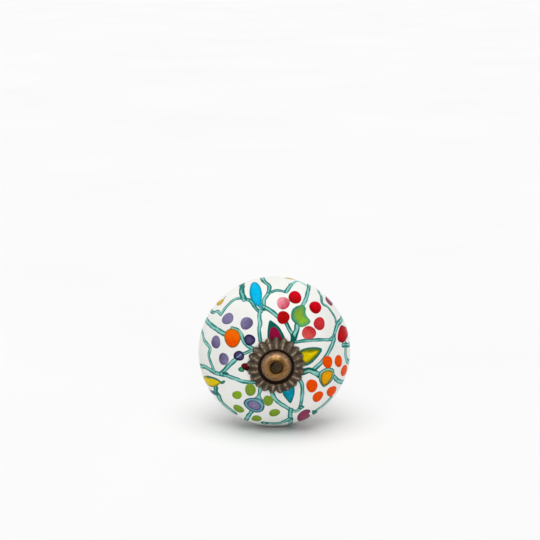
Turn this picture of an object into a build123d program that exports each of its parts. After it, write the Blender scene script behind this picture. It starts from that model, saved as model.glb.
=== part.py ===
"""Painted ceramic cabinet knob with a fluted rosette, a domed cap nut and an M4 stud.

The knob's axis lies along Y. The panel's face is the plane y = 0, the knob stands in front of it
towards -Y, and +Z is up. A height is a distance in front of the panel. Millimetres.
"""

import os
from math import acos, asin, cos, degrees, pi, radians, sin, sqrt, tan

from build123d import *

# Stud and nuts, M4
stud_radius = 2.0
thread_depth = 0.4
stud_chamfer = 0.4
nut_across_flats = 7.0
nut_thickness = 3.2
nut_chamfer = 0.45
nut_chamfer_angle = radians(30)

# Panel and what is behind it
panel_thickness = 18.0
washer_radius = 6.0
washer_thickness = 1.0
washer_edge = 0.2
stud_overrun = 6.0

# Base ferrule
ferrule_height = 9.0
ferrule_floor = 2.4
ring_width = 3.5
collar_wall = 1.0
collar_height = 1.6
foot_height = 1.5
foot_step = 0.6
foot_round = 0.5
wrench_room = 1.9

# Ceramic body
knob_diameter = 40.0
neck_step = 0.6
neck_edge = 0.6
neck_land = 1.2
neck_flare = 3.5
back_depth = 11.5
back_fullness = 9.0
face_height = 14.8
face_fullness = 7.0
face_slope = radians(19)
rim_fullness = 6.6

# Rosette, as heights above its seat and radii at the ridges
rosette_radius = 7.6
rosette_sheet = 0.5
flute_count = 21
flute_depth = 0.8
ridge_share = 0.4
shoulder_radius = 7.0
shoulder_height = 1.2
crest_radius = 5.5
crest_height = 2.0
crest_flute_depth = 0.3
well_taper = 0.35
crest_round = 0.15
seat_overhang = 0.4

# Cap nut, a dome whose centre lies behind its foot
dome_radius = 4.05
dome_sink = 0.85
cap_foot_round = 0.15
cap_lip_round = 0.45
stud_recess = 0.9

# Clearances
bore_clearance = 0.75
ferrule_clearance = 0.2
washer_clearance = 0.15
cap_clearance = 0.35

# Sizes that follow from those above
thread_minor_radius = stud_radius - thread_depth
nut_corner_radius = nut_across_flats / sqrt(3)
hollow_radius = nut_corner_radius + wrench_room
collar_radius = hollow_radius + collar_wall
foot_radius = hollow_radius + ring_width
hollow_height = ferrule_height - ferrule_floor
knob_radius = knob_diameter / 2
neck_radius = collar_radius + neck_step
bore_radius = stud_radius + bore_clearance
hole_radius = stud_radius + ferrule_clearance
widest_height = ferrule_height + back_depth
seat_radius = rosette_radius - seat_overhang
seat_height = widest_height + face_height

# The cap nut stands on the floor of the rosette's cup
cap_height = seat_height + rosette_sheet
cap_radius = sqrt(dome_radius**2 - dome_sink**2)
dome_centre_height = cap_height - dome_sink
mouth_radius = thread_minor_radius
cap_top_height = dome_centre_height + sqrt(dome_radius**2 - mouth_radius**2)
stud_front_height = cap_top_height - stud_recess
well_floor_radius = cap_radius + cap_clearance
well_radius = well_floor_radius + well_taper

washer_height = -panel_thickness - washer_thickness
nut_height = washer_height - nut_thickness
stud_back_height = nut_height - stud_overrun

# Half sections are drawn with the radius along X and the height along -Y
HALF_SECTION = Plane(origin=(0, 0, 0), x_dir=(1, 0, 0), z_dir=(0, 0, -1))


def across(height):
    """Plane square to the axis at a height, seen from the front."""
    return Plane.XZ.offset(height)


def pleats(ridge_radius, depth):
    """Corners of a section of the rosette: blunt ridges with one straight up, and sharp valleys."""
    pitch = 2 * pi / flute_count
    valley_radius = ridge_radius - depth
    corners = []
    for flute in range(flute_count):
        ridge_angle = pi / 2 + flute * pitch
        for turn, radius in (
            (-ridge_share / 2, ridge_radius),
            (ridge_share / 2, ridge_radius),
            (0.5, valley_radius),
        ):
            angle = ridge_angle + turn * pitch
            corners.append((radius * cos(angle), radius * sin(angle)))
    return corners


os.makedirs("parts", exist_ok=True)

# Ceramic body: a neck, a sloping back, a rounded rim and a domed face with a flat seat
with BuildPart() as ceramic_knob:
    with BuildSketch(HALF_SECTION):
        with BuildLine():
            neck = FilletPolyline(
                (bore_radius, ferrule_height),
                (neck_radius, ferrule_height),
                (neck_radius, ferrule_height + neck_land),
                radius=neck_edge,
            )
            back = Bezier(
                neck @ 1,
                neck @ 1 + (0, neck_flare),
                (knob_radius, widest_height - back_fullness),
                (knob_radius, widest_height),
            )
            face = Bezier(
                back @ 1,
                (knob_radius, widest_height + rim_fullness),
                (
                    seat_radius + face_fullness * cos(face_slope),
                    seat_height - face_fullness * sin(face_slope),
                ),
                (seat_radius, seat_height),
            )
            Polyline(face @ 1, (bore_radius, seat_height), (bore_radius, ferrule_height))
        make_face()
    revolve(axis=Axis.Y)
ceramic_knob.part.label = "ceramic_knob"
export_step(ceramic_knob.part, "parts/ceramic_knob.step")

# Rosette: a pleated skirt of even thickness round a turned cup with a flat floor
skirt_sections = [
    (0.0, rosette_radius, flute_depth),
    (shoulder_height, shoulder_radius, (flute_depth + crest_flute_depth) / 2),
    (crest_height, crest_radius, crest_flute_depth),
]
with BuildPart() as rosette:
    for height, ridge_radius, depth in skirt_sections:
        with BuildSketch(across(seat_height + height)):
            Polygon(*pleats(ridge_radius, depth), align=None)
    loft(ruled=True)
    for height, ridge_radius, depth in skirt_sections:
        with BuildSketch(across(seat_height + height)):
            Polygon(*pleats(ridge_radius - rosette_sheet, depth), align=None)
    loft(ruled=True, mode=Mode.SUBTRACT)
    with BuildSketch(HALF_SECTION):
        with BuildLine():
            Polyline(
                (hole_radius, seat_height),
                (well_floor_radius, seat_height),
                (crest_radius - crest_flute_depth, seat_height + crest_height - rosette_sheet),
                (crest_radius - crest_flute_depth, seat_height + crest_height),
                (well_radius, seat_height + crest_height),
                (well_floor_radius, seat_height + rosette_sheet),
                (hole_radius, seat_height + rosette_sheet),
                close=True,
            )
        make_face()
    revolve(axis=Axis.Y)
    lip = rosette.edges().filter_by(GeomType.CIRCLE).group_by(Axis.Y)[0]
    fillet(lip, crest_round)
rosette.part.label = "rosette"
export_step(rosette.part, "parts/rosette.step")

# Cap nut: a domed nut, tapped right through, with a rounded mouth
with BuildPart() as cap_nut:
    with BuildSketch(HALF_SECTION):
        with BuildLine():
            foot_angle = degrees(asin(dome_sink / dome_radius))
            mouth_angle = degrees(acos(mouth_radius / dome_radius))
            dome = CenterArc((0, dome_centre_height), dome_radius, foot_angle, mouth_angle - foot_angle)
            Polyline(
                dome @ 1,
                (mouth_radius, stud_front_height),
                (stud_radius, stud_front_height),
                (stud_radius, cap_height),
                dome @ 0,
            )
        make_face()
    revolve(axis=Axis.Y)
    circles = cap_nut.edges().filter_by(GeomType.CIRCLE)
    fillet(circles.group_by(Axis.Y)[0], cap_lip_round)
    back_circles = cap_nut.edges().filter_by(GeomType.CIRCLE).group_by(Axis.Y)[-1]
    fillet(back_circles.sort_by(SortBy.RADIUS)[-1], cap_foot_round)
cap_nut.part.label = "cap_nut"
export_step(cap_nut.part, "parts/cap_nut.step")

# Stud: a rod from the cap nut's mouth to behind the mounting nut
with BuildPart() as stud:
    with BuildSketch(across(stud_back_height)):
        Circle(stud_radius)
    extrude(amount=stud_front_height - stud_back_height)
    chamfer(stud.edges().filter_by(GeomType.CIRCLE), stud_chamfer)
stud.part.label = "stud"
export_step(stud.part, "parts/stud.step")

# Base ferrule: a flared collar, hollow at the back, with a flat ring against the panel
with BuildPart() as base_ferrule:
    with BuildSketch(HALF_SECTION):
        with BuildLine():
            foot = FilletPolyline(
                (hollow_radius, 0),
                (foot_radius, 0),
                (foot_radius, foot_height),
                (foot_radius - foot_step, foot_height),
                radius=[foot_round, foot_round],
            )
            flare = TangentArc(
                (collar_radius, ferrule_height - collar_height),
                foot @ 1,
                tangent=(0, -1),
            )
            Polyline(
                flare @ 0,
                (collar_radius, ferrule_height),
                (hole_radius, ferrule_height),
                (hole_radius, hollow_height),
                (hollow_radius, hollow_height),
                (hollow_radius, 0),
            )
        make_face()
    revolve(axis=Axis.Y)
base_ferrule.part.label = "base_ferrule"
export_step(base_ferrule.part, "parts/base_ferrule.step")


def hex_nut(back_height):
    """Hex nut on the stud with its corners turned off at both ends, from a height towards the front."""
    front_height = back_height + nut_thickness
    chamfer_height = nut_chamfer * tan(nut_chamfer_angle)
    with BuildPart() as nut:
        with BuildSketch(across(back_height)):
            RegularPolygon(nut_across_flats / 2, side_count=6, major_radius=False)
        extrude(amount=nut_thickness)
        with BuildSketch(HALF_SECTION):
            with BuildLine():
                Polyline(
                    (0, back_height),
                    (nut_corner_radius - nut_chamfer, back_height),
                    (nut_corner_radius, back_height + chamfer_height),
                    (nut_corner_radius, front_height - chamfer_height),
                    (nut_corner_radius - nut_chamfer, front_height),
                    (0, front_height),
                    close=True,
                )
            make_face()
        revolve(axis=Axis.Y, mode=Mode.INTERSECT)
        with BuildSketch(across(back_height)):
            Circle(stud_radius)
        extrude(amount=nut_thickness, mode=Mode.SUBTRACT)
    return nut


# Assembly nut: clamps the ferrule, the ceramic and the rosette between itself and the cap nut
assembly_nut = hex_nut(hollow_height - nut_thickness)
assembly_nut.part.label = "assembly_nut"
export_step(assembly_nut.part, "parts/assembly_nut.step")

# Mounting washer: lies against the back of the panel
with BuildPart() as mounting_washer:
    with BuildSketch(across(washer_height)):
        Circle(washer_radius)
        Circle(stud_radius + washer_clearance, mode=Mode.SUBTRACT)
    extrude(amount=washer_thickness)
    rims = mounting_washer.edges().filter_by(GeomType.CIRCLE).sort_by(SortBy.RADIUS)[-2:]
    fillet(rims, washer_edge)
mounting_washer.part.label = "mounting_washer"
export_step(mounting_washer.part, "parts/mounting_washer.step")

# Mounting nut: pulls the knob against the panel
mounting_nut = hex_nut(nut_height)
mounting_nut.part.label = "mounting_nut"
export_step(mounting_nut.part, "parts/mounting_nut.step")
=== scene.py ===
from math import atan, cos, pi, radians, sin

import bpy
import numpy as np
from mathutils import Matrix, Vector


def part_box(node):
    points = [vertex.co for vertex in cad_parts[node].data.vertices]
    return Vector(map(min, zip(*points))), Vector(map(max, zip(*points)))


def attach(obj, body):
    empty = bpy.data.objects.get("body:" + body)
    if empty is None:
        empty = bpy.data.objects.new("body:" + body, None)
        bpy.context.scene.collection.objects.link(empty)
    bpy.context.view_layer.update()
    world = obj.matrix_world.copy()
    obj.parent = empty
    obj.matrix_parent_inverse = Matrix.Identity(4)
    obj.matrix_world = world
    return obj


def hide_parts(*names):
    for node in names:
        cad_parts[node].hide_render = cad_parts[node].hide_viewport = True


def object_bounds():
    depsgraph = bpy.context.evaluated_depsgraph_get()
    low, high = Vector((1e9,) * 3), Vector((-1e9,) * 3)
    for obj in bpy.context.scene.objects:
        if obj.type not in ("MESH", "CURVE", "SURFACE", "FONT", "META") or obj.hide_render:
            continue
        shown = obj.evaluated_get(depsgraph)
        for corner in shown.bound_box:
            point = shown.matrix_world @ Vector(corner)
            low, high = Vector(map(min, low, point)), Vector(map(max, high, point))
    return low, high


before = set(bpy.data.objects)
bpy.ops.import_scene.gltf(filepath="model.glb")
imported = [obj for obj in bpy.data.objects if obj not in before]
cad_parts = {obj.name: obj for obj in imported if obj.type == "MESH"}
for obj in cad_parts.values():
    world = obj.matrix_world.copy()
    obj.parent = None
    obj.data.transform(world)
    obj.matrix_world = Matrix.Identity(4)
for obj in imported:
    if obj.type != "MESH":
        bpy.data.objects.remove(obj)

CAD_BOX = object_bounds()
MM = 0.001

# Ceramic body, as the solid has it
KNOB_RADIUS = -CAD_BOX[0][2] / MM
NECK_HEIGHT = 9.0
BACK_DEPTH = 11.5
FACE_DEPTH = 14.8
WIDEST_HEIGHT = NECK_HEIGHT + BACK_DEPTH
SEAT_HEIGHT = WIDEST_HEIGHT + FACE_DEPTH
SEAT_RADIUS = 7.2
FACE_FULLNESS = 7.0
FACE_SLOPE = radians(19)
RIM_FULLNESS = 6.6
BACK_FULLNESS = 9.0
NECK_RADIUS = 7.54
NECK_LAND = 1.2
NECK_FLARE = 3.5
NECK_EDGE = 0.6
BORE_RADIUS = 2.75

# Rosette, with heights above its seat and radii at the ridges
FLUTES = 21
SHEET = 0.5
HEM_RADIUS = 7.6
HEM_FLUTE = 0.8
SHOULDER_RADIUS = 7.0
SHOULDER_HEIGHT = 1.2
CREST_RADIUS = 5.5
CREST_HEIGHT = 2.0
CREST_FLUTE = 0.3
SHOULDER_FLUTE = (HEM_FLUTE + CREST_FLUTE) / 2
WELL_RADIUS = 4.66
WELL_FLOOR_RADIUS = 4.31
HOLE_RADIUS = 2.2
# The power that shapes its pleats: a smaller one makes blunter ridges and sharper valleys
RIDGE_POWER = 0.5
# How far each pass cuts its corners back, and the largest share of a side that a cut takes
CORNER_CUTS = (0.16, 0.06)
LARGEST_CUT = 0.3
# How the depth of its flutes wanders round it: shares of the depth, waves in a turn and phases
FLUTE_WAVES = ((0.18, 3, 0.6), (0.12, 8, 2.1))
# Its wear and painted light: how bright the ridges and the crest are from wear and painted highlight,
# how dark the valleys and the cup are from soot and painted shade,
# how narrow a rubbed and highlit line is, and the share of the hem's flute below which it fades
RIDGE_WEAR_AND_HIGHLIGHT = 0.55
CREST_WEAR_AND_HIGHLIGHT = 0.5
VALLEY_SOOT_AND_SHADE = 0.6
WELL_SOOT_AND_SHADE = 0.6
WEAR_NARROWNESS = 6
SHALLOW_FLUTE = 1 / 3

# Stud, M4. The flat is half the breadth of the thread's crest or root, as a share of its flank
STUD_RADIUS = 2.0
STUD_CHAMFER = 0.4
THREAD_PITCH = 0.7
THREAD_DEPTH = 0.4
THREAD_FLAT = 0.15

# Mesh density
CURVE_POINTS = 400
STROKE_STEPS = 24
OVAL_POINTS = 120
GLAZE_SEGMENTS = 576
FACE_RINGS = 146
BACK_RINGS = 17
EDGE_RINGS = 5
PLEAT_SEGMENTS = 24
STUD_SEGMENTS = 40
THREAD_STEPS = 8

# Glaze: how strongly it mirrors, and the depth of its ripples
GLAZE_SHEEN = 0.02
GLAZE_RIPPLE = 0.04

# Paint: the radius it starts from, under the rosette, how far past the rim it is drawn,
# how much it stands proud, and the blur of its edge
PAINT_START = 6.0
PAINT_REACH = 3.0
PAINT_RELIEF = 0.02
PAINT_BLUR = 0.07
# Its lines: their dark edge, its blur into the core, the step along them, and their length past the rim
LINE_EDGE = 0.33
LINE_BLUR = 0.14
LINE_STEP = 0.08
LINE_TAIL = 2.2
# A line runs on past the rim where it ends this near to it and heads outwards by this cosine or more
RIM_NEARNESS = 0.6
RIM_HEADING = 0.4
# Its patches: the breadth of the pool at their outline, how far one side is darker than the other,
# and how quickly one colour runs into a second
POOL_BREADTH = 0.32
SLANT_SHADE = 0.5
RUN_STEEPNESS = 0.7
# Its dabs: how much their ovals are squeezed and cornered
DAB_SQUEEZE = 0.035
DAB_CORNERS = 0.03
# Room round a line or a patch in which the ink is still known, and the reach of a square's corners
LINE_MARGIN = 0.5
PATCH_MARGIN = 0.8
CORNER_REACH = 1.5
# A depth or gap beyond any on the knob, a depth outside all paint, and a small step along the glaze
FAR = 1000.0
UNPAINTED = -1.0
NUDGE = 0.01
# How brushwork wanders: the largest share and the grain of each change
LINE_WIDTH_WANDER = (0.14, 3.1)
LINE_EDGE_WANDER = (0.75, 6.0)
LINE_TONE_WANDER = (0.14, 1.9)
PATCH_RUN_WANDER = (0.25, 1.3)
PATCH_EDGE_WANDER = (0.35, 3.3)
PATCH_TONE_WANDER = (0.10, 1.7)
# The waves that it is made of, their phases, and what sets a line's two edges apart
WANDER_WAVES = np.array([(1.0, 0.7, 0.4), (-0.6, 1.1, 0.8), (0.9, -0.8, 1.2)])
WANDER_PHASES = (2.3, 4.1, 5.7)
OTHER_EDGE = 1.7

# Stud's front end: the length over which it is painted dark as shade in the cap nut's mouth, and the radii
# between which it rusts
SHADE_PAINT_LENGTH = 2.0
RUST_START = 1.0
RUST_END = 1.6

# Cap nut: the radii between which its gold turns pink at the foot, lightened there as painted light,
# and brown at the mouth, as tarnish and painted shade, how far above the axis the brown is centred,
# so that it paints shade above the mouth, and how far these edges wander
PINK_START = 2.7
PINK_END = 3.5
BROWN_START = 2.6
BROWN_END = 1.6
BROWN_SHADE_LIFT = 0.4
CAP_WANDER = 1.0

# Metal: how strongly the film of patina mirrors, the depth of its grain, and that grain against its patches'
FILM_SHEEN = 0.1
GRAIN_DEPTH = 0.03
GRAIN_SHARE = 1 / 6
# Rosette's tint over its patina, and how speckled its wear and painted highlights are
TINT_SHARE = 0.45
SPECKLE = 3.2

# Camera: above the knob's axis and a little left of it, with places and lengths in the picture in pixels
PICTURE_SIZE = 540
FOCAL_PIXELS = 1786.0
KNOB_PIXELS = 151.5
KNOB_CENTRE_PIXEL = (274.5, 351.3)
ELEVATION = radians(14.0)
AZIMUTH = radians(1.7)
SENSOR = 36.0
NEAREST_SEEN = 10.0

# Floor, and the light that the room throws on the object. The room itself looks white
FLOOR_REACH = 8000.0
ROOM_LIGHT = 0.46


def linear(red, green, blue):
    """A colour of 0 to 255 a channel as linear light."""
    channels = np.array([red, green, blue]) / 255
    return np.where(channels <= 0.04045, channels / 12.92, ((channels + 0.055) / 1.055) ** 2.4)


# Inks, with white for the bare glaze
WHITE = linear(244, 244, 240)
TEAL = linear(24, 126, 118)
DEEP_TEAL = linear(6, 100, 90)
AQUA = linear(146, 214, 204)
JADE = linear(80, 166, 110)
LIME = linear(148, 198, 36)
LEAF_GREEN = linear(134, 168, 54)
OLIVE = linear(112, 124, 26)
RED = linear(218, 6, 30)
DARK_RED = linear(182, 0, 4)
WINE = linear(112, 10, 34)
SOOT_RED = linear(58, 14, 18)
BUD_RED = linear(140, 16, 22)
CRIMSON = linear(212, 50, 56)
SALMON = linear(222, 90, 86)
PINK = linear(248, 160, 172)
ROSE = linear(218, 70, 94)
ORANGE = linear(255, 84, 0)
LIGHT_ORANGE = linear(255, 112, 6)
AMBER = linear(252, 172, 10)
YELLOW = linear(240, 210, 4)
OCHRE = linear(226, 180, 56)
PURPLE = linear(136, 127, 168)
VIOLET = linear(108, 96, 138)
LILAC = linear(172, 142, 180)
DARK_PURPLE = linear(46, 34, 84)
DUSK = linear(86, 74, 116)
BLUE = linear(0, 192, 242)
SEA_BLUE = linear(8, 158, 190)
SLATE_BLUE = linear(48, 98, 122)
PALE_BLUE = linear(122, 176, 192)
MAROON = linear(150, 14, 60)
PLUM = linear(158, 62, 96)

# Glaze and paper, where they are cloudy and where they are clear
GLAZE_CLOUD = linear(238, 238, 233)
GLAZE_CLEAR = linear(246, 246, 242)
PAPER_CLOUD = linear(247, 247, 247)
PAPER_CLEAR = linear(250, 250, 250)

# Metals, with dark, middle and light patina
ANTIQUE_BRONZE = (linear(34, 28, 24), linear(86, 75, 62), linear(134, 119, 98))
POLISHED_BRONZE = (linear(92, 62, 32), linear(152, 114, 67), linear(180, 142, 90))
FERRULE_BRONZE = (linear(58, 48, 42), linear(96, 82, 70), linear(140, 122, 102))
ZINC = (linear(150, 148, 142), linear(178, 176, 170), linear(200, 198, 190))

# Tints, wear and stains on them, and painted light and shade: highlight and shade on the rosette,
# light at the cap nut's foot, shade above its mouth and on the stud's end
GREEN_TINT = linear(72, 76, 56)
BROWN_TINT = linear(84, 70, 56)
PINK_TINT = linear(104, 72, 66)
RUBBED_AND_HIGHLIT = linear(168, 152, 128)
SOOT_AND_SHADE = linear(38, 30, 24)
DARK_HOLE_SHADE = linear(44, 36, 28)
HOLE_SHADE = linear(72, 60, 46)
RUST = linear(112, 84, 46)
DARK_PINK_AND_PAINTED_LIGHT = linear(160, 120, 90)
PALE_PINK_AND_PAINTED_LIGHT = linear(232, 186, 148)
DARK_BROWN_TARNISH_AND_SHADE = linear(66, 48, 20)
BROWN_TARNISH_AND_SHADE = linear(116, 88, 44)
PIT = linear(70, 46, 24)


# Meshes

def bezier(start, start_pull, end_pull, end):
    """Points along a cubic curve, both ends included."""
    t = np.linspace(0, 1, CURVE_POINTS)[:, None]
    a, b, c, d = (np.array(point, float) for point in (start, start_pull, end_pull, end))
    return a * (1 - t) ** 3 + 3 * b * t * (1 - t) ** 2 + 3 * c * t ** 2 * (1 - t) + d * t ** 3


def run_along(points):
    """Distance from the first point to each, along the line."""
    steps = np.linalg.norm(np.diff(points, axis=0), axis=1)
    return np.concatenate([[0], np.cumsum(steps)])


def even_steps(points, count):
    """The same line with its points evenly spaced."""
    run = run_along(points)
    even = np.linspace(0, run[-1], count)
    return np.column_stack([np.interp(even, run, column) for column in points.T])


def smooth_line(points, closed=False):
    """Points along a smooth curve through the few given ones."""
    points = np.array(points, float)
    if closed:
        rows = [np.roll(points, shift, axis=0) for shift in (1, 0, -1, -2)]
    else:
        before = 2 * points[0] - points[1]
        after = 2 * points[-1] - points[-2]
        padded = np.vstack([before, points, after])
        rows = [padded[:-3], padded[1:-2], padded[2:-1], padded[3:]]
    a, b, c, d = (row[:, None] for row in rows)
    t = np.linspace(0, 1, STROKE_STEPS, endpoint=False)[None, :, None]
    bends = (2 * a - 5 * b + 4 * c - d) * t ** 2 + (3 * b - a - 3 * c + d) * t ** 3
    line = ((2 * b + (c - a) * t + bends) / 2).reshape(-1, 2)
    return line if closed else np.vstack([line, points[-1]])


def ring_mesh(name, rings, closed):
    """A smooth skin over rings of (x, z, height), which close up into a loop or end in flat caps."""
    count, segments = rings.shape[:2]
    x, z, height = rings.reshape(-1, 3).T
    vertices = np.column_stack([x, -height, z]) * MM
    faces = []
    for ring in range(count if closed else count - 1):
        here = ring * segments
        there = (ring + 1) % count * segments
        for corner in range(segments):
            after = (corner + 1) % segments
            faces.append((here + corner, there + corner, there + after, here + after))
    if not closed:
        faces.append(tuple(range(segments)))
        faces.append(tuple(reversed(range((count - 1) * segments, count * segments))))
    mesh = bpy.data.meshes.new(name)
    mesh.from_pydata(vertices.tolist(), [], faces)
    mesh.shade_smooth()
    piece = bpy.data.objects.new(name, mesh)
    bpy.context.collection.objects.link(piece)
    return piece


def swept(radius, height, angles):
    """Rings of (x, z, height) from radii at stations and angles, and the stations' heights."""
    level = height * np.ones(len(angles))
    return np.stack([radius * np.cos(angles), radius * np.sin(angles), level], axis=2)


def turn_steps(count):
    """Angles of equal steps round a turn."""
    return np.arange(count) * 2 * pi / count


def keep_values(piece, name, values):
    """Stores a number or a colour at each vertex."""
    if values.ndim == 1:
        layer = piece.data.attributes.new(name, "FLOAT", "POINT")
        layer.data.foreach_set("value", values)
    else:
        layer = piece.data.attributes.new(name, "FLOAT_COLOR", "POINT")
        layer.data.foreach_set("color", np.column_stack([values, np.ones(len(values))]).ravel())


# Materials

# Sockets of a node that mixes colours: its share, its two colours and its outcome
MIX_SHARE = 0
MIX_FIRST = 6
MIX_SECOND = 7
MIX_OUTCOME = 2


def add(tree, kind, inputs=None, **settings):
    """A node with its settings made and its inputs set to values or linked to sockets."""
    node = tree.nodes.new("ShaderNode" + kind)
    for setting, value in settings.items():
        setattr(node, setting, value)
    for name, value in (inputs or {}).items():
        socket = node.inputs[name]
        if isinstance(value, bpy.types.NodeSocket):
            tree.links.new(value, socket)
        elif socket.type == "RGBA":
            socket.default_value = (*value, 1)
        else:
            socket.default_value = value
    return node


def new_material(name, **values):
    """A material, its node tree, and its shader with the values that hold all over it."""
    material = bpy.data.materials.new(name)
    material.use_nodes = True
    shader = material.node_tree.nodes["Principled BSDF"]
    for socket, value in values.items():
        shader.inputs[socket.replace("_", " ")].default_value = value
    return material, material.node_tree, shader


def noise(tree, grain, detail=4.0, roughness=0.55):
    """Cloudy noise of 0 to 1 with a grain in mm."""
    place = add(tree, "TexCoord").outputs["Object"]
    values = {"Vector": place, "Scale": 1 / (grain * MM), "Detail": detail, "Roughness": roughness}
    return add(tree, "TexNoise", values).outputs["Fac"]


def ramp(tree, value, stops):
    """Colours, or greys, at places from 0 to 1 along a value."""
    node = add(tree, "ValToRGB", {"Fac": value})
    elements = node.color_ramp.elements
    while len(elements) < len(stops):
        elements.new(1.0)
    for element, (place, colour) in zip(elements, stops):
        element.position = place
        grey = np.ndim(colour) == 0
        element.color = (colour, colour, colour, 1) if grey else (*colour, 1)
    return node.outputs["Color"]


def mix(tree, share, first, second, **settings):
    """A blend of two colours or colour sockets."""
    values = {MIX_SHARE: share, MIX_FIRST: first, MIX_SECOND: second}
    return add(tree, "Mix", values, data_type="RGBA", **settings).outputs[MIX_OUTCOME]


def combine(tree, operation, first, second):
    """An operation on two numbers or sockets."""
    return add(tree, "Math", {0: first, 1: second}, operation=operation).outputs[0]


def share_between(tree, value, start, end, **settings):
    """0 to 1 as a value goes from a start to an end."""
    span = {"Value": value, "From Min": start, "From Max": end}
    return add(tree, "MapRange", span, **settings).outputs[0]


def bump(tree, shader, height, depth, strength=1.0):
    """Relief of a depth in mm on a shader."""
    node = add(tree, "Bump", {"Height": height, "Distance": depth * MM, "Strength": strength})
    tree.links.new(node.outputs["Normal"], shader.inputs["Normal"])


def from_axis(tree, lift=0.0):
    """Distance in metres from the knob's axis, or from a line that many mm above it."""
    place = add(tree, "TexCoord").outputs["Object"]
    raised = add(tree, "VectorMath", {0: place, 1: (0, 0, lift * MM)}, operation="SUBTRACT").outputs[0]
    flat = add(tree, "VectorMath", {0: raised, 1: (1, 0, 1)}, operation="MULTIPLY").outputs[0]
    return add(tree, "VectorMath", {0: flat}, operation="LENGTH").outputs["Value"]


def glaze_material():
    """White glaze over brushed paint, whose colour and depth inside its edge are kept at the vertices."""
    material, tree, shader = new_material("glazed_ceramic", Specular_IOR_Level=GLAZE_SHEEN)
    ink = add(tree, "Attribute", attribute_name="ink").outputs["Color"]
    depth = add(tree, "Attribute", attribute_name="depth").outputs["Fac"]
    cover = share_between(tree, depth, -PAINT_BLUR, PAINT_BLUR, interpolation_type="SMOOTHSTEP")
    cloud = noise(tree, grain=9.0, detail=2.0)
    white = ramp(tree, cloud, [(0.3, GLAZE_CLOUD), (0.7, GLAZE_CLEAR)])
    brush = ramp(tree, noise(tree, grain=0.5, detail=3.0), [(0.3, 0.80), (0.7, 1.0)])
    streaked = mix(tree, 1.0, ink, brush, blend_type="MULTIPLY")
    tree.links.new(mix(tree, cover, white, streaked), shader.inputs["Base Color"])
    tree.links.new(ramp(tree, cloud, [(0.2, 0.10), (0.8, 0.20)]), shader.inputs["Roughness"])
    ripple = combine(tree, "MULTIPLY", noise(tree, grain=4.0, detail=1.0), GLAZE_RIPPLE)
    relief = combine(tree, "MULTIPLY", cover, PAINT_RELIEF)
    bump(tree, shader, combine(tree, "ADD", ripple, relief), depth=1.0)
    return material


def metal_material(name, tones, rough, grain, sheen=1.0):
    """Plated or cast metal: patina in cloudy patches, smoothest where it is lightest, and a fine grain."""
    material, tree, shader = new_material(name, Metallic=sheen, Specular_IOR_Level=FILM_SHEEN)
    patch = noise(tree, grain, detail=6.0, roughness=0.65)
    dark, middle, light = tones
    tone = ramp(tree, patch, [(0.30, dark), (0.52, middle), (0.72, light)])
    tree.links.new(tone, shader.inputs["Base Color"])
    low, high = rough
    tree.links.new(ramp(tree, patch, [(0.3, high), (0.7, low)]), shader.inputs["Roughness"])
    bump(tree, shader, noise(tree, grain * GRAIN_SHARE, detail=3.0), GRAIN_DEPTH, strength=0.6)
    return material


def undercoat(material):
    """A metal's node tree, its shader, and the patina that colours it so far."""
    tree = material.node_tree
    shader = tree.nodes["Principled BSDF"]
    return tree, shader, shader.inputs["Base Color"].links[0].from_socket


def rosette_material():
    """Darkened bronze, paler from rubbing and painted highlight, or darker from soot and painted shade, where
    the mesh says so.
    """
    material = metal_material("antique_bronze", ANTIQUE_BRONZE, rough=(0.36, 0.56), grain=1.1, sheen=0.5)
    tree, shader, patina = undercoat(material)
    # Paler with wear and painted highlight, darker with soot and painted shade, as the mesh gives it
    wear_and_painted_light = add(tree, "Attribute", attribute_name="wear_and_painted_light").outputs["Fac"]
    speckle = combine(tree, "SUBTRACT", noise(tree, grain=0.6), 0.5)
    rubbed_and_highlit = combine(tree, "ADD", wear_and_painted_light, combine(tree, "MULTIPLY", speckle, SPECKLE))
    rubbed_and_highlit_share = ramp(tree, rubbed_and_highlit, [(0.35, 0.0), (1.0, 0.85)])
    soot_and_shade_share = ramp(tree, combine(tree, "SUBTRACT", 0.0, wear_and_painted_light), [(0.0, 0.0), (0.6, 0.75)])
    tints = [(0.35, GREEN_TINT), (0.5, BROWN_TINT), (0.65, PINK_TINT)]
    tinted = mix(tree, TINT_SHARE, patina, ramp(tree, noise(tree, grain=0.8, detail=3.0), tints))
    worn_and_highlit = mix(tree, rubbed_and_highlit_share, tinted, RUBBED_AND_HIGHLIT)
    tree.links.new(mix(tree, soot_and_shade_share, worn_and_highlit, SOOT_AND_SHADE), shader.inputs["Base Color"])
    return material


def zinc_material(name):
    """Zinc-plated steel."""
    return metal_material(name, ZINC, rough=(0.25, 0.42), grain=1.6)


def stud_material():
    """Zinc-plated steel, painted dark as shade at the end that shows in the cap nut's mouth, with rust round
    its edge.
    """
    material = zinc_material("zinc_steel_stud")
    tree, shader, plating = undercoat(material)
    place = add(tree, "TexCoord").outputs["Object"]
    along = add(tree, "SeparateXYZ", {"Vector": place}).outputs["Y"]
    shaded_end_share = share_between(tree, along, (SHADE_PAINT_LENGTH - SEAT_HEIGHT) * MM, -SEAT_HEIGHT * MM)
    ring_share = share_between(tree, from_axis(tree), RUST_START * MM, RUST_END * MM)
    # The front end is painted dark as shade inside the cap nut's mouth, with rust round its edge
    hole_shade = ramp(tree, noise(tree, grain=0.9), [(0.3, DARK_HOLE_SHADE), (0.7, HOLE_SHADE)])
    shade_and_rust = mix(tree, ring_share, hole_shade, RUST)
    tree.links.new(mix(tree, shaded_end_share, plating, shade_and_rust), shader.inputs["Base Color"])
    return material


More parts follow.
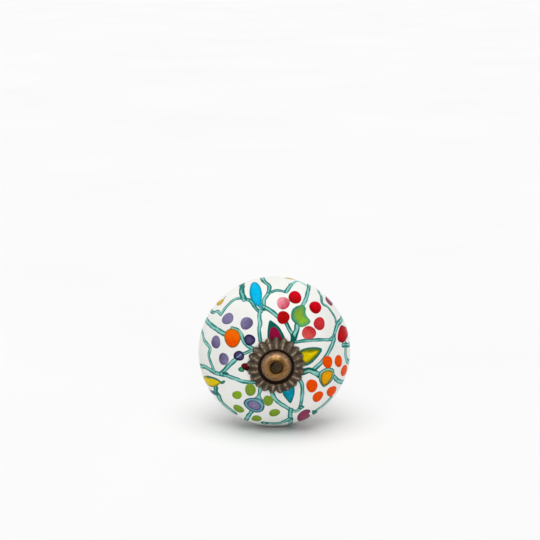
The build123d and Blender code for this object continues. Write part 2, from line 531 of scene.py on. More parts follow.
def cap_material():
    """Rubbed bronze: brownish tarnish round the mouth, painted darker above it as shade, gold on the dome,
    and pinker and duller at its foot, lightened there as painted light.
    """
    material = metal_material("polished_bronze", POLISHED_BRONZE, rough=(0.22, 0.34), grain=0.55)
    tree, shader, gold = undercoat(material)
    uneven = combine(tree, "SUBTRACT", noise(tree, grain=0.9), 0.5)
    drift = combine(tree, "MULTIPLY", uneven, CAP_WANDER * MM)
    reach = combine(tree, "ADD", from_axis(tree), drift)
    foot_share = share_between(tree, reach, PINK_START * MM, PINK_END * MM)
    tarnish_and_shade_reach = combine(tree, "ADD", from_axis(tree, BROWN_SHADE_LIFT), drift)
    tarnish_and_shade_share = share_between(tree, tarnish_and_shade_reach, BROWN_START * MM, BROWN_END * MM)
    # Pink at the foot, lightened as painted light; brown tarnish and painted shade round and above the mouth
    pink_and_painted_light = ramp(tree, noise(tree, grain=0.6, detail=5.0), [(0.3, DARK_PINK_AND_PAINTED_LIGHT), (0.65, PALE_PINK_AND_PAINTED_LIGHT)])
    tarnish_and_shade = ramp(tree, noise(tree, grain=0.5), [(0.3, DARK_BROWN_TARNISH_AND_SHADE), (0.7, BROWN_TARNISH_AND_SHADE)])
    tone = mix(tree, tarnish_and_shade_share, mix(tree, foot_share, gold, pink_and_painted_light), tarnish_and_shade)
    pits = ramp(tree, noise(tree, grain=0.32, detail=2.0), [(0.36, 0.8), (0.44, 0.0)])
    tree.links.new(mix(tree, pits, tone, PIT), shader.inputs["Base Color"])
    tree.links.new(ramp(tree, foot_share, [(0.0, 0.7), (1.0, 0.3)]), shader.inputs["Metallic"])
    return material


def ferrule_material():
    """Darkened bronze, turned smooth."""
    return metal_material("ferrule_bronze", FERRULE_BRONZE, rough=(0.32, 0.5), grain=2.5)


def floor_material():
    """Matt white paper with a faint cloudiness."""
    material, tree, shader = new_material("floor_paper", Roughness=0.9, Specular_IOR_Level=0.1)
    cloud = noise(tree, grain=120.0, detail=2.0)
    tone = ramp(tree, cloud, [(0.3, PAPER_CLOUD), (0.7, PAPER_CLEAR)])
    tree.links.new(tone, shader.inputs["Base Color"])
    return material


# Ceramic body: its glazed outline from the seat over the face, the rim and the back to the neck

face_curve = bezier(
    (SEAT_RADIUS, SEAT_HEIGHT),
    (SEAT_RADIUS + FACE_FULLNESS * cos(FACE_SLOPE), SEAT_HEIGHT - FACE_FULLNESS * sin(FACE_SLOPE)),
    (KNOB_RADIUS, WIDEST_HEIGHT + RIM_FULLNESS),
    (KNOB_RADIUS, WIDEST_HEIGHT),
)
back_curve = bezier(
    (KNOB_RADIUS, WIDEST_HEIGHT),
    (KNOB_RADIUS, WIDEST_HEIGHT - BACK_FULLNESS),
    (NECK_RADIUS, NECK_HEIGHT + NECK_LAND + NECK_FLARE),
    (NECK_RADIUS, NECK_HEIGHT + NECK_LAND),
)
face_line = np.vstack([(PAINT_START, SEAT_HEIGHT), face_curve])
face_run = run_along(face_line)
rim_run = face_run[-1]
glaze_line = np.vstack([face_line, back_curve[1:]])
glaze_run = run_along(glaze_line)


def ceramic_outline():
    """Closed outline of the ceramic's half section, with most of its points on the painted face."""
    bore = [(BORE_RADIUS, NECK_HEIGHT), (BORE_RADIUS, SEAT_HEIGHT)]
    turn = np.linspace(0, pi / 2, EDGE_RINGS)
    edge = np.column_stack([
        NECK_RADIUS - NECK_EDGE * (1 - np.cos(turn)),
        NECK_HEIGHT + NECK_EDGE * (1 - np.sin(turn)),
    ])
    in_paint = glaze_run <= rim_run + PAINT_REACH
    painted = even_steps(glaze_line[in_paint], FACE_RINGS)
    plain = even_steps(glaze_line[~in_paint], BACK_RINGS)
    return np.vstack([bore, painted, plain, edge])


# Paint

def on_glaze(points):
    """Places on the glaze, as (x, z, height), of points on the face as seen from the front.
    A point further from the axis than the rim lies that much past it, on the back."""
    points = np.array(points, float).reshape(-1, 2)
    reach = np.hypot(points[:, 0], points[:, 1])
    on_face = np.interp(reach, face_line[:, 0], face_run)
    run = np.where(reach <= KNOB_RADIUS, on_face, rim_run + reach - KNOB_RADIUS)
    radius = np.interp(run, glaze_run, glaze_line[:, 0])
    height = np.interp(run, glaze_run, glaze_line[:, 1])
    return np.column_stack([points * (radius / reach)[:, None], height])


def touching(centre):
    """A place on the glaze, with the two directions of the plane that touches it there."""
    middle, aside, above = on_glaze([centre, np.add(centre, (NUDGE, 0)), np.add(centre, (0, NUDGE))])
    along = (aside - middle) / np.linalg.norm(aside - middle)
    above = above - middle
    across = above - along * (above @ along)
    return middle, along, across / np.linalg.norm(across)


def over_rim(points):
    """A line with its end run on past the rim, if it meets the rim there."""
    points = np.array(points, float)
    way = points[-1] - points[-2]
    reach = np.linalg.norm(points[-1])
    heading = way @ points[-1] / (np.linalg.norm(way) * reach)
    if reach < KNOB_RADIUS - RIM_NEARNESS or heading < RIM_HEADING:
        return points
    ahead = points[-1] + way / np.linalg.norm(way)
    return np.vstack([points, ahead * ((KNOB_RADIUS + LINE_TAIL) / np.linalg.norm(ahead))])


def wander(amount, places, seed):
    """A soft uneven change over places, by an amount of a largest share and a grain in mm."""
    share, grain = amount
    phases = np.multiply.outer(seed, WANDER_PHASES)
    return share * np.sin(places @ WANDER_WAVES.T * (2 * pi / grain) + phases).mean(axis=1)


def blend(first, second, share):
    """Two inks mixed at each vertex, by its share of the second."""
    share = np.clip(share, 0, 1)[:, None]
    return first * (1 - share) + second * share


def depth_inside(points, outline):
    """Distance of points inside a closed outline, negative outside it."""
    gap = np.full(len(points), FAR)
    crossings = np.zeros(len(points), int)
    x, z = points.T
    for (x0, z0), (x1, z1) in zip(outline, np.roll(outline, -1, axis=0)):
        gap = np.minimum(gap, np.hypot(x - x0, z - z0))
        spans = (z0 > z) != (z1 > z)
        rise = z1 - z0 if z1 != z0 else 1.0
        crossings += spans & (x < x0 + (z - z0) * (x1 - x0) / rise)
    return np.where(crossings % 2 == 1, gap, -gap)


class Canvas:
    """The glaze as it is painted: at each vertex the ink that covers it, or else the nearest ink,
    and the depth, in mm, inside that ink's edge (negative outside)."""

    def __init__(self, places):
        self.places = places
        self.ink = np.tile(WHITE, (len(places), 1))
        self.depth = np.full(len(places), UNPAINTED)

    def lay(self, near, depth, ink):
        """Lays ink over the vertices near a motif."""
        covers = depth > 0
        wins = covers | (depth > self.depth[near])
        kept = np.maximum(depth, self.depth[near] * covers)
        self.depth[near[wins]] = np.where(covers, kept, depth)[wins]
        self.ink[near[wins]] = ink[wins]

    def line(self, points, width, edge=TEAL, core=AQUA, edge_width=LINE_EDGE):
        """A brushed line with a paler core and uneven dark edges, which thins out past the rim."""
        points = over_rim(over_rim(points)[::-1])[::-1]
        route = on_glaze(smooth_line(points))
        samples = even_steps(route, int(run_along(route)[-1] / LINE_STEP) + 2)
        way = np.gradient(samples, axis=0)
        low = samples.min(axis=0) - width - LINE_MARGIN
        high = samples.max(axis=0) + width + LINE_MARGIN
        near = np.flatnonzero(((self.places > low) & (self.places < high)).all(axis=1))
        places = self.places[near]
        half_width = width / 2 * (1 + wander(LINE_WIDTH_WANDER, samples, width + points[0][0]))
        past_rim = np.maximum(WIDEST_HEIGHT - samples[:, 2], 0)
        half_width *= np.sqrt(np.clip(1 - past_rim / LINE_TAIL, 0, 1))
        gaps = np.full(len(near), FAR)
        depth = np.full(len(near), -FAR)
        left = np.zeros(len(near))
        for sample, step, half in zip(samples, way, half_width):
            offset = places - sample
            gap = np.linalg.norm(offset, axis=1)
            nearer = gap < gaps
            left[nearer] = (step[0] * offset[:, 1] > step[1] * offset[:, 0])[nearer]
            depth = np.maximum(depth, half - gap)
            gaps = np.minimum(gaps, gap)
        band = edge_width * (1 + wander(LINE_EDGE_WANDER, places, points[0][1] + OTHER_EDGE * left))
        ink = blend(edge, core, (width / 2 - band - gaps) / LINE_BLUR + 0.5)
        tone = 1 + wander(LINE_TONE_WANDER, places, points[-1][0])
        self.lay(near, depth, ink * tone[:, None])

    def patch(
        self, centre, outline, fill, second=None, turn=-120.0, shade=0.24,
        edge=None, edge_width=0.0, blur=0.16,
    ):
        """A filled shape: a closed outline in mm on the plane that touches the glaze at its centre.
        Its fill pools darker at the outline and runs into a second colour towards a turn in degrees."""
        middle, along, across = touching(centre)
        size = np.abs(outline).max()
        reach = (size + PATCH_MARGIN) * CORNER_REACH
        near = np.flatnonzero(np.linalg.norm(self.places - middle, axis=1) < reach)
        places = self.places[near]
        offsets = places - middle
        flat = np.column_stack([offsets @ along, offsets @ across])
        depth = depth_inside(flat, outline)
        slant = flat @ np.array([cos(radians(turn)), sin(radians(turn))]) / size
        pool = np.exp(-np.maximum(depth, 0) / POOL_BREADTH)
        ink = np.tile(fill, (len(near), 1))
        if second is not None:
            uneven = wander(PATCH_RUN_WANDER, places, centre[1])
            ink = blend(ink, second, 0.5 + RUN_STEEPNESS * slant + uneven)
        if edge is not None:
            band = edge_width * (1 + wander(PATCH_EDGE_WANDER, places, centre[1]))
            ink = blend(ink, edge, (band - depth) / blur + 0.5)
        tone = 1 + wander(PATCH_TONE_WANDER, places, centre[0]) - shade * (SLANT_SHADE * slant + pool)
        self.lay(near, depth, np.clip(ink * tone[:, None], 0, 1))

    def spot(self, centre, size, fill, tilt=0.0, **more):
        """A dabbed oval, a little uneven, of a length and a breadth in mm, tilted by degrees."""
        angles = np.linspace(0, 2 * pi, OVAL_POINTS, endpoint=False)
        squeezed = DAB_SQUEEZE * np.sin(2 * angles + centre[0])
        cornered = DAB_CORNERS * np.sin(3 * angles + 2 * centre[1])
        lobes = 1 + squeezed + cornered
        oval = np.column_stack([np.cos(angles), np.sin(angles)]) * lobes[:, None] * np.array(size) / 2
        turn = radians(tilt)
        turned_oval = oval @ np.array([(cos(turn), sin(turn)), (-sin(turn), cos(turn))])
        self.patch(centre, turned_oval, fill, **more)

    def shape(self, points, fill, **more):
        """A filled shape with a smooth outline through a few points on the face."""
        centre = np.mean(points, axis=0)
        middle, along, across = touching(centre)
        offsets = on_glaze(smooth_line(points, closed=True)) - middle
        self.patch(centre, np.column_stack([offsets @ along, offsets @ across]), fill, **more)


def paint_lines(canvas):
    """Teal stems and petal outlines."""
    # Round the blue leaf at the top
    canvas.line([(-16.4, 11.2), (-14.9, 11.9), (-14.1, 11.5)], 0.95)
    canvas.line([(-14.0, 11.5), (-12.7, 13.3), (-10.6, 15.2), (-8.7, 15.8), (-6.5, 15.6)], 1.05)
    canvas.line([(-8.5, 18.0), (-8.6, 17.4), (-8.5, 16.6), (-7.9, 15.6)], 1.55, edge_width=0.75)
    canvas.line([(-3.1, 19.7), (-1.5, 18.7), (-1.9, 17.1)], 1.2)
    canvas.line([(-1.9, 17.2), (0.0, 17.8), (1.2, 17.8), (2.6, 17.5)], 0.95)
    canvas.line(
        [(4.0, 18.7), (4.7, 18.94), (5.6, 19.1), (6.6, 18.85), (7.6, 18.4), (8.9, 17.65)],
        0.9, edge=AQUA,
    )
    canvas.line([(2.8, 17.5), (3.4, 18.1), (4.2, 18.8)], 1.1)
    canvas.line([(-6.5, 15.6), (-5.0, 13.9), (-4.1, 13.2)], 0.9)
    canvas.line([(-1.9, 17.1), (-2.9, 15.9), (-3.1, 14.6), (-3.8, 13.2)], 1.05, edge_width=0.2)
    canvas.line([(-4.1, 13.6), (-4.2, 11.9), (-4.0, 10.5), (-4.3, 9.1), (-4.0, 6.4)], 1.05)
    canvas.line([(-3.0, 14.4), (-2.4, 14.1), (-0.9, 13.3), (0.5, 12.2)], 1.2)
    canvas.line([(2.6, 10.8), (3.5, 9.0), (4.2, 7.7), (4.3, 6.2)], 1.1, edge=DEEP_TEAL, edge_width=0.45)
    # Round the red flower
    canvas.line([(8.9, 17.65), (8.4, 16.7), (7.9, 15.6), (7.0, 14.4)], 1.1)
    canvas.line([(5.4, 10.0), (5.3, 8.9), (4.8, 7.8), (4.3, 6.2)], 1.5, edge=DEEP_TEAL)
    canvas.shape([(3.9, 8.0), (4.5, 7.7), (4.9, 6.9), (4.6, 5.6), (3.9, 5.8)], DEEP_TEAL)
    canvas.line([(5.0, 6.0), (7.4, 6.2), (10.9, 6.0), (13.9, 5.5), (15.1, 5.3)], 0.9)
    canvas.line([(11.5, 16.5), (12.1, 15.4), (12.3, 14.0), (13.8, 12.9), (15.5, 10.4), (15.9, 8.9)], 0.9)
    # Right petal and rim
    canvas.line(
        [(17.7, 9.2), (16.2, 8.5), (15.2, 6.3), (15.1, 5.0), (13.3, 2.0), (11.6, 0.0), (9.5, -1.6)],
        1.25,
    )
    canvas.line([(15.2, 6.3), (13.9, 5.6)], 0.7)
    canvas.line([(18.5, 3.1), (18.4, 1.5), (18.45, 0.0), (19.4, -2.2)], 1.4)
    canvas.line([(17.6, 3.15), (18.6, 2.8), (19.7, 2.25)], 1.3, edge_width=0.45)
    # Round the orange flower and down the bottom petal
    canvas.line(
        [(6.2, -1.9), (7.4, -1.7), (8.5, -1.5), (9.7, -2.1), (11.2, -3.2)],
        1.6, edge=DEEP_TEAL, edge_width=0.5,
    )
    canvas.line([(15.2, -4.5), (15.9, -5.6), (16.9, -6.7), (18.0, -7.6)], 1.25)
    canvas.line([(6.0, -3.8), (6.6, -5.0), (6.8, -6.9), (6.7, -9.4), (6.4, -11.9)], 1.05)
    canvas.line(
        [(-1.2, -6.8), (0.0, -9.4), (3.2, -12.2), (4.3, -13.0), (5.3, -13.4), (6.1, -12.8), (6.5, -12.0)],
        1.2,
    )
    canvas.line([(3.9, -12.6), (3.8, -14.7), (4.1, -17.0), (3.9, -19.4)], 1.25)
    canvas.line(
        [(10.7, -14.6), (11.3, -14.0), (12.4, -13.3), (13.5, -12.3), (14.5, -11.3)],
        1.8, edge_width=0.5,
    )
    canvas.line(
        [(-2.9, -17.6), (-2.1, -17.6), (-0.8, -17.7), (0.5, -17.7), (1.8, -17.3), (2.8, -16.7), (3.7, -16.0)],
        1.75, edge_width=0.5,
    )
    canvas.spot((-2.8, -17.7), (1.9, 2.6), AQUA, edge=TEAL, edge_width=0.5)
    # Left side
    canvas.line([(-19.6, -3.2), (-18.1, -2.6), (-15.7, -3.3), (-13.1, -3.3)], 1.25)
    canvas.line([(-13.3, -3.3), (-10.1, -4.0), (-8.4, -4.5), (-5.4, -4.4)], 1.15)
    canvas.line([(-14.0, -3.2), (-12.4, -1.0), (-10.4, 1.2)], 1.25)
    canvas.shape([(-13.9, -2.9), (-13.1, -2.4), (-12.3, -2.6), (-12.0, -3.2), (-13.1, -3.3)], TEAL)
    canvas.line([(-19.0, 5.8), (-18.4, 4.3), (-16.9, 2.9), (-17.2, 0.6), (-15.8, -3.0)], 1.1)
    canvas.line([(-17.4, -9.9), (-16.3, -9.9), (-15.4, -9.6)], 1.3, edge=SLATE_BLUE, core=SLATE_BLUE)
    canvas.line(
        [(-14.9, -9.9), (-14.3, -11.6), (-13.1, -13.0), (-11.6, -14.2), (-10.8, -14.9)],
        2.3, edge_width=0.6,
    )
    canvas.line([(-15.4, -7.4), (-15.5, -8.3), (-15.4, -9.6)], 1.75, edge_width=0.9)
    canvas.shape(
        [(-14.6, -6.0), (-13.8, -5.2), (-13.2, -4.9), (-13.0, -5.3), (-13.7, -6.1)],
        JADE, edge=TEAL, edge_width=0.25,
    )
    # Stems of the purple and the green flower
    canvas.line([(-17.8, 8.9), (-15.6, 8.1), (-13.2, 7.2)], 1.35)
    canvas.line([(-11.2, 8.9), (-9.9, 8.6), (-8.9, 7.6), (-8.3, 6.2), (-7.2, 5.0), (-5.8, 4.4)], 1.1)
    canvas.line([(-8.6, 2.8), (-7.4, 3.4), (-6.2, 4.0)], 0.9)
    canvas.shape(
        [(-4.5, -5.8), (-4.7, -7.7), (-5.4, -8.8), (-6.6, -9.5), (-4.6, -10.6), (-2.8, -10.3),
         (-3.7, -8.8), (-3.9, -7.7), (-3.4, -6.2)],
        AQUA, edge=TEAL, edge_width=0.28,
    )
    canvas.line([(-6.2, -13.5), (-7.0, -15.2), (-7.6, -17.4), (-7.8, -18.6)], 1.2)


def paint_leaves(canvas):
    """Leaves between the petals and marks along the rim."""
    # Blue leaf at the top
    canvas.shape(
        [(-5.4, 19.08), (-4.4, 19.0), (-3.7, 18.3), (-3.4, 17.1), (-3.6, 15.6), (-3.9, 14.1),
         (-4.8, 14.5), (-5.8, 15.2), (-6.5, 16.3), (-6.6, 17.5), (-6.2, 18.6)],
        BLUE, edge=SEA_BLUE, edge_width=0.4, blur=0.6,
    )
    # Maroon leaf above the rosette
    canvas.shape(
        [(-1.6, 11.3), (-0.4, 10.8), (0.8, 9.8), (1.7, 8.4), (2.3, 7.0), (2.0, 5.8), (-0.4, 5.6),
         (-2.0, 6.2), (-2.2, 7.6), (-2.1, 9.4)],
        DEEP_TEAL,
    )
    canvas.shape(
        [(-1.3, 9.5), (-0.1, 9.7), (0.8, 8.6), (1.4, 7.2), (1.2, 5.9), (-0.4, 5.7), (-1.6, 6.3), (-1.7, 8.0)],
        MAROON, shade=0.25,
    )
    # Yellow leaf to the right of the rosette
    canvas.shape([(11.9, 3.4), (9.3, 4.4), (6.2, 3.9), (5.4, 1.6), (7.0, -0.2), (9.4, 0.5)], TEAL)
    canvas.shape(
        [(11.3, 3.2), (9.2, 4.0), (6.3, 3.6), (5.6, 1.6), (7.1, 0.3), (9.2, 1.0)],
        YELLOW, edge=OLIVE, edge_width=0.7, blur=0.6,
    )
    # Blue leaf below the rosette
    canvas.shape(
        [(1.7, -7.6), (2.0, -6.4), (4.4, -5.5), (4.8, -7.2), (4.5, -8.9), (3.8, -10.6), (2.6, -9.2)],
        SEA_BLUE, edge=TEAL, edge_width=0.4,
    )
    canvas.spot(
        (3.1, -7.0), (2.4, 1.7), BLUE, tilt=-75, second=SEA_BLUE, turn=-90.0,
        edge=SEA_BLUE, edge_width=0.3, blur=0.5,
    )
    # Dark red bud to the left of the rosette
    canvas.shape(
        [(-9.7, -1.2), (-9.0, -0.5), (-8.2, -1.1), (-8.3, -1.8), (-9.3, -1.8)],
        JADE, edge=TEAL, edge_width=0.3, blur=0.6,
    )
    canvas.shape(
        [(-8.9, -0.1), (-8.3, 0.5), (-7.2, 0.5), (-6.6, -0.5), (-7.2, -1.4), (-8.0, -1.3), (-8.7, -0.7)],
        BUD_RED, second=SOOT_RED, turn=-60.0, shade=0.4, edge=SOOT_RED, edge_width=0.35, blur=0.5,
    )
    # Red leaf, plum leaf and yellow leaf at the rim
    canvas.shape(
        [(17.3, 8.0), (18.9, 6.8), (21.4, 6.5), (19.3, 4.8), (17.9, 3.8), (16.3, 4.7), (16.3, 6.6)],
        RED, second=DARK_RED, turn=-100.0, edge=WINE, edge_width=0.3, blur=0.5,
    )
    canvas.shape(
        [(5.8, -15.2), (6.4, -14.0), (7.4, -13.3), (8.2, -13.2), (9.0, -13.6), (9.2, -14.5), (8.8, -14.9),
         (9.2, -15.9), (8.8, -17.2), (8.0, -17.9), (7.0, -18.4), (6.3, -17.6), (5.8, -16.5)],
        PLUM, edge=DUSK, edge_width=0.3, blur=0.9,
    )
    canvas.shape(
        [(-18.7, -6.0), (-17.8, -5.0), (-16.4, -4.7), (-15.0, -4.9), (-14.1, -5.5), (-14.6, -6.5),
         (-15.7, -7.5), (-16.9, -8.1), (-17.9, -7.8), (-18.6, -7.0)],
        YELLOW, edge=OLIVE, edge_width=0.3, blur=0.6,
    )
    canvas.line([(-17.8, -5.4), (-16.4, -5.0), (-15.0, -5.2), (-14.2, -5.7)], 0.6, core=OLIVE)
    # Small marks at the rim
    canvas.shape(
        [(-14.9, 12.95), (-15.1, 13.1), (-14.1, 14.1), (-13.4, 14.6), (-13.2, 14.5), (-14.0, 13.5)],
        OCHRE,
    )
    canvas.line([(-13.2, 14.75), (-12.8, 15.2)], 0.35, edge=SLATE_BLUE, core=SLATE_BLUE)
    canvas.spot((4.1, 19.7), (3.1, 1.7), OCHRE, tilt=8)
    canvas.shape([(13.3, 14.8), (15.3, 15.5), (15.9, 14.4), (15.1, 12.8), (13.9, 13.6)], PLUM)
    canvas.shape(
        [(9.6, -14.2), (10.1, -14.0), (11.0, -14.6), (11.1, -15.8), (10.7, -16.6), (9.9, -15.8)],
        TEAL,
    )
    # Knots where stems meet
    canvas.spot((6.7, -12.3), (1.6, 1.4), AQUA, edge=TEAL, edge_width=0.45, blur=0.4)
    canvas.spot((-3.0, 13.8), (1.1, 1.0), TEAL)


def paint_flowers(canvas):
    """Dots round an outlined eye, one flower in each quarter."""
    # Purple dots, orange eye
    canvas.spot(
        (-11.2, 6.55), (5.0, 4.8), LIGHT_ORANGE, tilt=134, second=ORANGE, turn=-100.0,
        edge=OLIVE, edge_width=0.25, blur=0.5,
    )
    canvas.spot((-12.3, 10.9), (3.6, 3.2), PURPLE)
    canvas.spot((-7.5, 10.4), (3.5, 3.3), PURPLE, tilt=140, second=VIOLET, turn=-30.0)
    canvas.spot((-15.4, 4.8), (3.4, 3.3), PURPLE, second=VIOLET)
    canvas.spot((-13.4, 0.9), (3.3, 3.1), PURPLE, tilt=12, second=VIOLET, turn=160.0)
    canvas.spot((-6.75, 6.5), (3.0, 2.9), DUSK, tilt=110, edge=DARK_PURPLE, edge_width=0.5, blur=0.6)
    canvas.spot((-9.5, 2.3), (3.0, 2.6), DUSK, tilt=15, edge=DARK_PURPLE, edge_width=0.5, blur=0.6)
    canvas.line([(-10.0, 1.9), (-9.5, 2.2), (-9.0, 2.7)], 0.32, edge=PALE_BLUE, core=PALE_BLUE)
    # Red dots, green eye
    canvas.shape(
        [(7.0, 14.5), (7.8, 13.7), (7.7, 12.8), (8.0, 11.9), (8.9, 10.8), (8.7, 10.2), (7.7, 9.7),
         (6.4, 9.5), (5.2, 10.3), (4.2, 11.4), (4.0, 12.5), (4.4, 13.6), (5.5, 14.3)],
        LIME, second=LEAF_GREEN, turn=120.0, edge=JADE, edge_width=0.85, blur=1.2,
    )
    canvas.line([(5.5, 14.2), (4.5, 13.6), (4.1, 12.5), (4.3, 11.4), (5.3, 10.3)], 0.4, core=TEAL)
    canvas.spot((5.1, 16.3), (4.5, 3.3), RED, tilt=56, second=DARK_RED)
    canvas.spot((2.0, 15.2), (3.7, 3.4), PINK, tilt=78, second=ROSE, turn=-40.0)
    canvas.spot((1.9, 12.0), (3.5, 3.3), DARK_RED, tilt=70, shade=0.25)
    canvas.spot((10.4, 13.6), (4.4, 3.2), RED, tilt=30, second=DARK_RED)
    canvas.spot((11.3, 9.8), (4.0, 3.1), CRIMSON, tilt=33)
    canvas.spot((8.5, 8.0), (4.0, 3.5), SALMON, tilt=12, second=CRIMSON, turn=60.0)
    # Orange dots, amber eye
    canvas.shape(
        [(11.0, -2.9), (11.7, -2.0), (13.2, -1.6), (14.9, -2.2), (15.3, -3.9), (14.7, -5.6), (13.6, -6.5),
         (12.4, -6.9), (11.4, -5.4), (11.0, -4.0)],
        AQUA, edge=TEAL, edge_width=0.3,
    )
    canvas.shape(
        [(11.5, -3.9), (12.1, -2.6), (13.6, -2.3), (14.8, -3.1), (14.6, -4.8), (13.7, -6.1),
         (12.4, -6.5), (11.6, -5.1)],
        AMBER, edge=OLIVE, edge_width=0.42, blur=0.5,
    )
    canvas.spot((13.4, -0.1), (3.7, 3.1), ORANGE, tilt=128)
    canvas.spot((16.4, -0.6), (3.8, 2.8), ORANGE, tilt=134)
    canvas.spot((18.2, -4.0), (4.8, 3.0), ORANGE, tilt=155)
    canvas.spot((9.3, -6.0), (4.3, 3.1), ORANGE, tilt=127)
    canvas.spot((11.0, -9.6), (4.0, 3.1), ORANGE, tilt=123)
    canvas.spot((14.8, -9.0), (4.8, 3.2), ORANGE, tilt=153)
    # Green dots, purple eye
    canvas.shape(
        [(-8.3, -11.0), (-7.8, -9.7), (-6.6, -9.1), (-5.0, -9.0), (-3.8, -9.4), (-2.9, -11.1),
         (-3.3, -12.9), (-4.7, -13.7), (-6.3, -13.4), (-7.6, -12.4)],
        PALE_BLUE, edge=SLATE_BLUE, edge_width=0.4,
    )
    canvas.shape(
        [(-7.4, -11.1), (-6.9, -10.1), (-5.7, -9.8), (-4.4, -10.3), (-3.8, -11.6), (-4.3, -12.8),
         (-5.6, -12.8), (-6.8, -12.2)],
        PURPLE, edge=SLATE_BLUE, edge_width=0.25, blur=0.3,
    )
    canvas.spot((-5.4, -11.5), (1.9, 1.0), LILAC, tilt=-28, edge=PURPLE, edge_width=0.2, blur=0.4)
    canvas.spot((-6.6, -6.7), (3.9, 2.8), LEAF_GREEN, tilt=71)
    canvas.spot((-10.0, -8.7), (3.3, 2.4), LEAF_GREEN, tilt=43, second=LIME, turn=40.0)
    canvas.spot((-9.6, -13.2), (3.6, 3.1), LEAF_GREEN, tilt=55)
    canvas.spot((-2.0, -9.7), (3.7, 2.5), LEAF_GREEN, tilt=90)
    canvas.spot((-0.3, -13.6), (3.4, 2.7), LEAF_GREEN, tilt=55)
    canvas.spot((-4.9, -16.0), (3.9, 2.6), LEAF_GREEN, tilt=56)


# Pieces

def make_ceramic():
    """The glazed body, with its paint kept at the vertices."""
    outline = ceramic_outline()
    rings = swept(outline[:, :1], outline[:, 1:], turn_steps(GLAZE_SEGMENTS))
    canvas = Canvas(rings.reshape(-1, 3))
    paint_lines(canvas)
    paint_leaves(canvas)
    paint_flowers(canvas)
    piece = ring_mesh("painted_ceramic", rings, closed=True)
    keep_values(piece, "ink", canvas.ink)
    keep_values(piece, "depth", canvas.depth)
    piece.data.materials.append(glaze_material())
    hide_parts("ceramic_knob")
    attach(piece, "root")


def rounded(stations):
    """A closed row of stations with its corners cut back in passes."""
    stations = np.array(stations, float)
    for cut in CORNER_CUTS:
        side = np.roll(stations, -1, axis=0) - stations
        length = np.linalg.norm(side[:, :2], axis=1)[:, None]
        share = np.minimum(cut / length, LARGEST_CUT)
        stations = np.stack([stations + side * share, stations + side * (1 - share)], axis=1)
        stations = stations.reshape(-1, stations.shape[-1])
    return stations


def make_rosette(material):
    """A pleated skirt round a turned cup, paler along the ridges and the crest from rubbing and painted
    highlight, and darker in the valleys and the cup from soot and painted shade.
    """
    # Each station is a height above the seat, a radius at the ridges and a depth of flute
    stations = rounded([
        (0.0, HEM_RADIUS, HEM_FLUTE),
        (SHOULDER_HEIGHT, SHOULDER_RADIUS, SHOULDER_FLUTE),
        (CREST_HEIGHT, CREST_RADIUS, CREST_FLUTE),
        (CREST_HEIGHT, WELL_RADIUS, 0.0),
        (SHEET, WELL_FLOOR_RADIUS, 0.0),
        (SHEET, HOLE_RADIUS, 0.0),
        (0.0, HOLE_RADIUS, 0.0),
        (0.0, WELL_FLOOR_RADIUS, 0.0),
        (CREST_HEIGHT - SHEET, WELL_RADIUS, 0.0),
        (SHOULDER_HEIGHT - SHEET / 2, SHOULDER_RADIUS - SHEET, SHOULDER_FLUTE),
        (0.0, HEM_RADIUS - SHEET, HEM_FLUTE),
    ])
    height, ridge_radius, flute = stations.T[:, :, None]
    from_top = turn_steps(FLUTES * PLEAT_SEGMENTS)
    angles = pi / 2 + from_top
    ridge = (0.5 + 0.5 * np.cos(FLUTES * from_top)) ** RIDGE_POWER
    uneven = 1 + sum(share * np.sin(waves * angles + phase) for share, waves, phase in FLUTE_WAVES)
    radius = ridge_radius - flute * uneven * (1 - ridge)
    piece = ring_mesh("pleated_rosette", swept(radius, SEAT_HEIGHT + height, angles), closed=True)
    fluted = flute / HEM_FLUTE
    lift = height / CREST_HEIGHT
    in_well = (ridge_radius < WELL_RADIUS) & (flute < CREST_FLUTE / 2)
    ridge_line = ridge ** WEAR_NARROWNESS
    crest_line = lift ** WEAR_NARROWNESS * ridge_line * (1 - fluted)
    valley = (1 - ridge ** 2) * np.sqrt(fluted)
    # Ridges and crest: wear and painted highlight; valleys and the cup: soot and painted shade
    bright = RIDGE_WEAR_AND_HIGHLIGHT * ridge_line * np.minimum(fluted / SHALLOW_FLUTE, 1) + CREST_WEAR_AND_HIGHLIGHT * crest_line
    wear_and_painted_light = bright - VALLEY_SOOT_AND_SHADE * valley - WELL_SOOT_AND_SHADE * in_well
    keep_values(piece, "wear_and_painted_light", wear_and_painted_light.ravel())
    piece.data.materials.append(material)
    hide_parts("rosette")
    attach(piece, "root")


def make_stud(material):
    """A rod with a rolled thread from end to end and turned ends."""
    low, high = (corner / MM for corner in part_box("stud"))
    front = -low[1]
    back = -high[1]
    steps = int((front - back) / THREAD_PITCH * THREAD_STEPS)
    height = np.linspace(front, back, steps + 1)[:, None]
    angles = turn_steps(STUD_SEGMENTS)
    phase = height / THREAD_PITCH - angles / (2 * pi)
    groove = 1 - np.abs(2 * (phase % 1) - 1)
    flattened = np.clip(groove * (1 + 2 * THREAD_FLAT) - THREAD_FLAT, 0, 1)
    from_end = np.minimum(front - height, height - back)
    radius = np.minimum(STUD_RADIUS - THREAD_DEPTH * flattened, STUD_RADIUS - STUD_CHAMFER + from_end)
    piece = ring_mesh("threaded_stud", swept(radius, height, angles), closed=False)
    piece.data.materials.append(material)
    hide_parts("stud")
    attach(piece, "root")


def dress(node, material):
    """Gives a solid of the frame its material."""
    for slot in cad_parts[node].material_slots:
        slot.material = material


# Camera, floor and light

def direction(azimuth, elevation):
    """The way a camera looks from the front, turned to the right and down."""
    return Vector((sin(azimuth) * cos(elevation), cos(azimuth) * cos(elevation), -sin(elevation)))


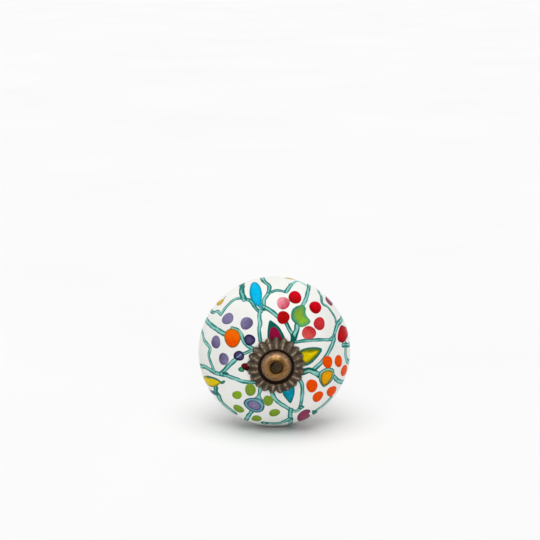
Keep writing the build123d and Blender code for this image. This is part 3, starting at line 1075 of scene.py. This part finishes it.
def place_camera():
    """Stands the camera where the knob's rim falls on its place in the frame, at its size there."""
    target = Vector((0, -WIDEST_HEIGHT, 0))
    distance = 2 * KNOB_RADIUS * FOCAL_PIXELS / KNOB_PIXELS
    aside, below = (atan((pixel - PICTURE_SIZE / 2) / FOCAL_PIXELS) for pixel in KNOB_CENTRE_PIXEL)
    forward = direction(AZIMUTH - aside, ELEVATION - below)
    lens = bpy.data.cameras.new("camera")
    lens.sensor_width = SENSOR
    lens.lens = FOCAL_PIXELS / PICTURE_SIZE * SENSOR
    lens.clip_start = NEAREST_SEEN * MM
    camera = bpy.data.objects.new("camera", lens)
    camera.location = (target - distance * direction(AZIMUTH, ELEVATION)) * MM
    camera.rotation_euler = forward.to_track_quat("-Z", "Y").to_euler()
    bpy.context.collection.objects.link(camera)
    bpy.context.scene.camera = camera


def make_floor():
    """A wide sheet of paper under the rim."""
    reach = FLOOR_REACH * MM
    level = -KNOB_RADIUS * MM
    mesh = bpy.data.meshes.new("floor")
    corners = [(-reach, -reach, level), (reach, -reach, level), (reach, reach, level), (-reach, reach, level)]
    mesh.from_pydata(corners, [], [(0, 1, 2, 3)])
    floor = bpy.data.objects.new("floor", mesh)
    bpy.context.collection.objects.link(floor)
    mesh.materials.append(floor_material())


def hang_light(name, strength, breadth, travel):
    """A lamp of a breadth in degrees whose light travels along a direction."""
    lamp = bpy.data.lights.new(name, "SUN")
    lamp.energy = strength
    lamp.angle = radians(breadth)
    light = bpy.data.objects.new(name, lamp)
    light.rotation_euler = Vector(travel).to_track_quat("-Z", "Y").to_euler()
    bpy.context.collection.objects.link(light)


def light_studio():
    """A broad soft light above, a small one in front for the metal's glint, and an even white room."""
    hang_light("softbox", strength=1.64, breadth=60, travel=(0.04, 0.28, -1.0))
    hang_light("glint", strength=0.22, breadth=18, travel=(0.0, 0.6, -1.0))
    world = bpy.data.worlds.new("room")
    world.use_nodes = True
    tree = world.node_tree
    background = tree.nodes["Background"]
    background.inputs["Color"].default_value = (1, 1, 1, 1)
    rays = add(tree, "LightPath").outputs
    mirrored = combine(tree, "MAXIMUM", rays["Is Glossy Ray"], rays["Is Transmission Ray"])
    seen = combine(tree, "MAXIMUM", rays["Is Camera Ray"], mirrored)
    strength = add(tree, "MapRange", {"Value": seen, "To Min": ROOM_LIGHT, "To Max": 1.0})
    tree.links.new(strength.outputs[0], background.inputs["Strength"])
    bpy.context.scene.world = world
    bpy.context.scene.view_settings.view_transform = "Standard"


make_ceramic()
make_rosette(rosette_material())
make_stud(stud_material())
dress("cap_nut", cap_material())
dress("base_ferrule", ferrule_material())
zinc = zinc_material("zinc_steel")
for node in ("assembly_nut", "mounting_washer", "mounting_nut"):
    dress(node, zinc)

make_floor()
light_studio()
place_camera()
